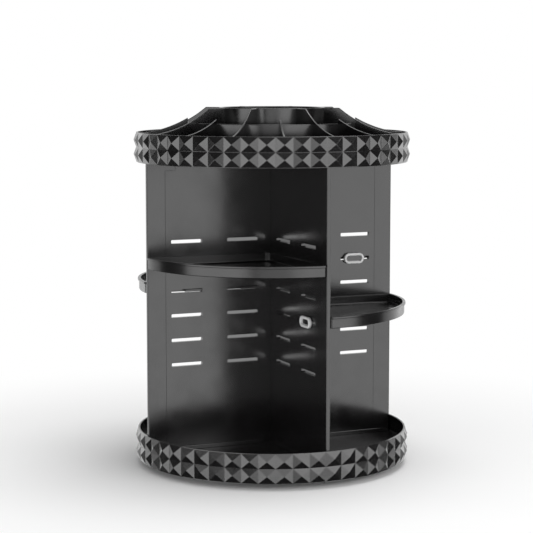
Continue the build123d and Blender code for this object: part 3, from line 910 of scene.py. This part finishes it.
@dataclass
class TopInsert(Part):
    """Divided insert of the top tray: plate, pocket ring, brush cup and swept dividers."""

    bottom: float = 264.4
    floor: float = 1.6
    plate_radius: float = 110.794
    plate_segments: int = 208
    wall: float = 1.6
    ring_radius: float = 70.0
    ring_height: float = 20.3
    ring_segments: int = 192
    cup_radius: float = 44.0
    cup_wall: float = 1.8
    cup_height: float = 32.5
    fillet: float = 0.9
    sink: float = 0.05
    divider_outer: float = 110.194
    divider_low: float = 278.0
    divider_root: float = 0.6
    divider_edge: Edge = Edge(0.55, 3, 28.0, False)
    level_end: float = 6.0
    crown_radius: float = 58.0
    crown_drop: float = 0.1
    sweep_radius: float = 96.0
    sweep_points: int = 22
    divider_count: int = 16
    first_azimuth: float = 4.3

    @property
    def top(self) -> float:
        """Height of the insert plate's upper face."""
        return self.bottom + self.floor

    def plate(self) -> Surface:
        """The round plate at the insert's foot."""
        radius = self.plate_radius
        corners = [
            (0.0, self.bottom, 0.0), (radius, self.bottom, 0.3),
            (radius, self.top, 0.45), (0.0, self.top, 0.0),
        ]
        return lathe(eased(corners), self.plate_segments)

    def ring(self, outer: float, wall: float, height: float) -> Surface:
        """Upright ring with a rounded rim and a fillet at its foot.

        Args:
            outer: outside radius.
            wall: thickness.
            height: height above the plate.

        Returns:
            The turned surface.
        """
        inner, fillet = outer - wall, self.fillet
        foot, high = self.top - self.sink, self.top + height
        corners = [
            (inner - fillet, foot, 0.0), (outer + fillet, foot, 0.0),
            (outer, self.top + fillet, 0.7), (outer, high, 0.6),
            (inner, high, 0.6), (inner, self.top + fillet, 0.7),
        ]
        return lathe(eased(corners, 5), self.ring_segments)

    def sweep(self) -> Array:
        """Points of the dividers' swept edge from its low end up to the crown.

        The centre of the arc stands at right angles to the middle of the chord, on its outer,
        upper side, at the square root of radius squared less half the chord squared.

        Returns:
            Radius and height of each point.
        """
        start = np.array([self.divider_outer - self.level_end, self.divider_low])
        end = np.array([self.crown_radius, self.top + self.cup_height - self.crown_drop])
        chord = end - start
        half = np.linalg.norm(chord) / 2
        normal = np.array([chord[1], -chord[0]]) / (2 * half)
        centre = (start + end) / 2 + normal * np.sqrt(self.sweep_radius**2 - half**2)
        first = np.arctan2(*(start - centre)[::-1])
        last = np.arctan2(*(end - centre)[::-1])
        turn = np.linspace(first, last, self.sweep_points)
        return centre + around(self.sweep_radius, turn)

    def divider(self, inner: float) -> Surface:
        """One divider from an inner radius outwards, along +X.

        Args:
            inner: radius where it meets the cup or the ring.

        Returns:
            The slab under the swept edge.
        """
        sweep = self.sweep()
        edge = sweep[sweep[:, 0] > inner + 0.01]
        height = edge[-1, 1]
        if inner >= self.crown_radius:
            height = np.interp(inner, sweep[::-1, 0], sweep[::-1, 1])
        outer, foot = self.divider_outer, self.top - self.sink
        corners = [(inner, foot), (outer, foot), (outer, self.divider_low)]
        return plate(np.vstack([corners, edge, [(inner, height)]]), self.wall / 2)

    def dividers(self, inner: float, offset: int) -> Surface:
        """Every second divider from a first one on, each turned to its azimuth."""
        slab = self.divider(inner)
        step = 360 / self.divider_count
        azimuths = self.first_azimuth + step * np.arange(offset, self.divider_count, 2)
        return Surface.joined([slab.turned(float(azimuth) - 90) for azimuth in azimuths])

    def build(self, finishes: Finishes) -> None:
        """Make the insert's pieces."""
        finish, edge = finishes.insert, self.divider_edge
        ring = self.ring(self.ring_radius + self.wall / 2, self.wall, self.ring_height)
        cup = self.ring(self.cup_radius, self.cup_wall, self.cup_height)
        long_set = self.dividers(self.cup_radius - self.divider_root, 0)
        short_set = self.dividers(self.ring_radius, 1)
        Piece("insert_floor", finish, "insert_plate").shaped(self.plate())
        Piece("pocket_ring_wall", finish, "pocket_ring").shaped(ring)
        Piece("brush_cup_wall", finish, "brush_cup").shaped(cup)
        Piece("long_divider_fins", finish, "long_dividers", edge=edge).shaped(long_set)
        Piece("short_divider_fins", finish, "short_dividers", edge=edge).shaped(short_set)


# ---- turntable


@dataclass
class Turntable(Part):
    """Base plate, rubber feet and the ball bearing that carries the carousel."""

    plate_low: float = 4.1
    plate_high: float = 6.4
    plate_radius: float = 95.994
    plate_segments: int = 192
    lip: float = 2.0
    bush_outer: float = 8.0
    grooves: Pair = (24.0, 58.0)
    groove_width: float = 4.0
    groove_slope: float = 0.6
    groove_depth: float = 0.5
    foot_count: int = 3
    foot_circle: float = 91.494
    foot_radius: float = 4.0
    foot_segments: int = 40
    first_foot: float = 46.5
    sole_rim: Pair = (1.5, 1.25)
    sole_dip: float = 0.28
    stem_radius: float = 2.0
    stem_play: float = 0.1
    barb_radius: float = 3.0
    tip_radius: float = 1.0
    tip_height: float = 1.0

    def plate(self) -> Surface:
        """The base plate: a lip at its edge and two shallow grooves underneath."""
        edge, low, high = self.plate_radius, self.plate_low, self.plate_high
        slope, deep, lip = self.groove_slope, low + self.groove_depth, self.lip
        corners = [(self.bush_outer, low, 0.15)]
        for start in self.grooves:
            end = start + self.groove_width
            corners += [(start, low, 0.3), (start + slope, deep, 0.3)]
            corners += [(end - slope, deep, 0.3), (end, low, 0.3)]
        corners += [
            (edge, low, 0.6), (edge, high + lip, 0.5), (edge - lip, high + lip, 0.5),
            (edge - lip, high, 0.5), (self.bush_outer, high, 0.15),
        ]
        return lathe(eased(corners, 5), self.plate_segments)

    def feet(self) -> Surface:
        """Pads with a shallow cup in the sole, each with its stem and barbed cap."""
        radius, stem, barb = self.foot_radius, self.stem_radius, self.barb_radius
        cup, sole = self.sole_rim
        catch, crest = self.plate_high + self.stem_play, self.plate_high + self.tip_height
        corners = [
            (0.0, self.sole_dip, 0.0), (radius - cup, self.sole_dip, 0.2),
            (radius - sole, 0.0, 0.12), (radius, 0.0, 0.5), (radius, self.plate_low, 0.35),
            (stem, self.plate_low, 0.0), (stem, catch, 0.0), (barb, catch, 0.15),
            (self.tip_radius, crest, 0.2), (0.0, crest, 0.0),
        ]
        pad = lathe(eased(corners), self.foot_segments).moved(x=self.foot_circle)
        first, step = self.first_foot - 90, 360 / self.foot_count
        return Surface.joined([pad.turned(first + step * i) for i in range(self.foot_count)])

    def build(self, finishes: Finishes) -> None:
        """Make the plate and feet and dress the bearing's pieces."""
        disc = Piece("base_plate_disc", finishes.plate, "base_plate", Body.BASE, Slot.SATIN)
        pads = Piece("rubber_foot_pads", finishes.rubber, "rubber_feet", Body.BASE, Slot.RUBBER)
        disc.shaped(self.plate())
        pads.shaped(self.feet())
        dress(finishes.race, "lower_race", "upper_race")
        dress(finishes.ball, "bearing_balls")
        dress(finishes.nylon, "ball_cage", "centre_bush")
        dress(finishes.screw, "pivot_screw", "pivot_washer", "bottom_screws", "top_screws")


# ---- stage


@dataclass(frozen=True)
class Panel:
    """Soft rectangular light: azimuth from the camera's, lengths in metres, power in watts."""

    name: str
    azimuth: float
    distance: float
    height: float
    size: Pair
    power: float


PANELS = (
    Panel("panel_left", -46.0, 1.25, 0.05, (1.35, 0.82), 11.9),
    Panel("panel_right", 46.0, 1.25, 0.22, (1.35, 1.15), 16.4),
    Panel("panel_front", 3.0, 1.25, 0.25, (0.7, 1.25), 5.3),
    Panel("panel_back_left", -128.0, 1.5, 0.14, (1.1, 1.0), 3.2),
    Panel("panel_back_right", 128.0, 1.5, 0.14, (1.1, 1.0), 3.2),
    Panel("panel_above", 120.0, 0.27, 1.65, (1.0, 1.0), 14.2),
)
"""Large panels at the front, weaker ones at the back and a broad one overhead."""


@dataclass
class Studio:
    """Pale floor, white surroundings, soft panels of light, and the camera."""

    look_at: Triple = (-0.00413, -0.00163, 0.16507)
    camera_place: Triple = (0.5222, -1.3378, 0.3298)
    camera_azimuth: float = 21.5
    focal_pixels: float = 1719.2
    frame_pixels: float = 533.0
    sensor: float = 36.0
    camera_reach: float = 200.0
    panel_aim: Triple = (0.0, 0.0, 0.16)
    floor_half: float = 40.0
    floor_roughness: float = 0.9
    floor_greys: Pair = (0.85, 0.87)
    floor_fade: Pair = (0.115, 0.50)
    room_strength: float = 0.35
    backdrop_span: Pair = (0.35, 0.92)
    backdrop_strength: Pair = (0.03, 1.0)
    ceiling_span: Pair = (0.50, 0.95)
    ceiling_strength: Pair = (0.0, 0.8)

    def toward(self, azimuth: float) -> Vector:
        """Level direction at an azimuth counted from the camera's."""
        turn = np.radians(self.camera_azimuth + azimuth)
        return Vector((float(np.sin(turn)), -float(np.cos(turn)), 0.0))

    def hang(self, name: str, data: bpy.types.ID, place: Vector, aim: Triple) -> bpy.types.Object:
        """Place a camera or a light and aim it at a point."""
        item = linked(name, data)
        item.location = place
        item.rotation_euler = (Vector(aim) - place).to_track_quat("-Z", "Y").to_euler()
        return item

    def camera(self) -> None:
        """Place the camera and aim it at the object."""
        data = bpy.data.cameras.new("camera")
        data.sensor_width = self.sensor
        data.lens = self.focal_pixels * self.sensor / self.frame_pixels
        data.clip_end = self.camera_reach
        place = Vector(self.camera_place)
        bpy.context.scene.camera = self.hang("camera", data, place, self.look_at)

    def lights(self) -> None:
        """Hang the panels, which the camera itself doesn't see."""
        for panel in PANELS:
            data = bpy.data.lights.new(panel.name, "AREA")
            data.shape = "RECTANGLE"
            data.size, data.size_y = panel.size
            data.energy = panel.power
            place = self.toward(panel.azimuth) * panel.distance + Vector((0, 0, panel.height))
            lamp = self.hang(panel.name, data, place, self.panel_aim)
            lamp.visible_camera = False

    def floor_paint(self) -> Material:
        """Pale grey near the object, plain white further out, clear to reflections.

        Camera and transmission rays see the white. Reflections and shadow rays pass through,
        so that panels may reach below the floor.

        Returns:
            The material.
        """
        sheet = Sheet.of_material("floor_pale")
        sheet.shader.inputs["Roughness"].default_value = self.floor_roughness
        sheet.shader.inputs["Specular IOR Level"].default_value = 0.0
        low, high = ((grey,) * 3 for grey in self.floor_greys)
        sheet.tint(sheet.noise(9.0, 3.0), low, high)
        flat = sheet.add("VectorMath", operation="MULTIPLY")
        flat.inputs[1].default_value = (1.0, 1.0, 0.0)
        sheet.join(sheet.place, flat.inputs[0])
        radius = sheet.add("VectorMath", operation="LENGTH")
        sheet.join(flat.outputs["Vector"], radius.inputs[0])
        fade = sheet.between(radius.outputs["Value"], self.floor_fade)
        direct = sheet.rays("Is Camera Ray", "Is Transmission Ray")
        passing = sheet.rays("Is Glossy Ray", "Is Shadow Ray")
        white = sheet.add("Emission").outputs["Emission"]
        clear = sheet.add("BsdfTransparent").outputs["BSDF"]
        paint = sheet.shader.outputs["BSDF"]
        seen = sheet.blend(sheet.math("MULTIPLY", fade, direct), paint, white)
        surface = sheet.blend(passing, seen, clear)
        sheet.join(surface, sheet.tree.nodes["Material Output"].inputs["Surface"])
        return sheet.owner

    def floor(self) -> None:
        """Lay the pale floor."""
        half = self.floor_half
        corners = [(-half, -half, 0.0), (half, -half, 0.0), (half, half, 0.0), (-half, half, 0.0)]
        mesh = bpy.data.meshes.new("floor")
        mesh.from_pydata(corners, [], [(0, 1, 2, 3)])
        mesh.materials.append(self.floor_paint())
        floor = linked("floor", mesh)

    def world(self) -> None:
        """Set up white surroundings for the camera and a dim room for the rest.

        Reflections see a white backdrop behind the object and a ceiling glow.
        """
        world = bpy.data.worlds.new("studio")
        bpy.context.scene.world = world
        world.cycles.sampling_method = "NONE"
        sheet = Sheet(world, "Background", "Generated")
        room = sheet.shader
        room.inputs["Strength"].default_value = self.room_strength
        white, gloss = (sheet.add("Background") for _ in range(2))
        for light in (room, white, gloss):
            light.inputs["Color"].default_value = WHITE
        behind = sheet.add("VectorMath", operation="DOT_PRODUCT")
        behind.inputs[1].default_value = -self.toward(0.0)
        sheet.join(sheet.place, behind.inputs[0])
        axes = sheet.add("SeparateXYZ")
        sheet.join(sheet.place, axes.inputs[0])
        backdrop = sheet.between(
            behind.outputs["Value"], self.backdrop_span, self.backdrop_strength
        )
        ceiling = sheet.between(axes.outputs["Z"], self.ceiling_span, self.ceiling_strength)
        sheet.join(sheet.math("MAXIMUM", backdrop, ceiling), gloss.inputs["Strength"])
        mirrored = sheet.add("LightPath").outputs["Is Glossy Ray"]
        direct = sheet.rays("Is Camera Ray", "Is Transmission Ray")
        lit = sheet.blend(mirrored, room.outputs[0], gloss.outputs[0])
        surface = sheet.blend(direct, lit, white.outputs[0])
        sheet.join(surface, sheet.tree.nodes["World Output"].inputs["Surface"])

    def build(self) -> None:
        """Set up the whole stage."""
        self.camera()
        self.lights()
        self.floor()
        self.world()
        bpy.context.scene.view_settings.view_transform = "Standard"


@dataclass
class Organiser(Part):
    """The whole organiser."""

    bottom_rim: float = 5.5
    tray_spacing: float = 248.4
    shelves: tuple[WedgeShelf, ...] = (
        WedgeShelf("front", 0.0, 168.2),
        WedgeShelf("right", 90.0, 127.4),
        WedgeShelf("back", 180.0, 168.2),
        WedgeShelf("left", 270.0, 147.8),
    )

    def build(self, finishes: Finishes) -> None:
        """Build every sub-assembly, from the floor up."""
        bottom = StuddedTray("bottom_tray", self.bottom_rim, True)
        top = StuddedTray("top_tray", self.bottom_rim + self.tray_spacing, False)
        parts: list[Part] = [Turntable(), bottom, CrossWalls(), *self.shelves, top, TopInsert()]
        for part in parts:
            part.build(finishes)


def main() -> None:
    """Build the stage and the organiser."""
    logging.basicConfig(level=logging.INFO, format="%(name)s: %(message)s")
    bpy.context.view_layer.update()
    Studio().build()
    Organiser().build(Finishes())


if __name__ == "__main__":
    main()
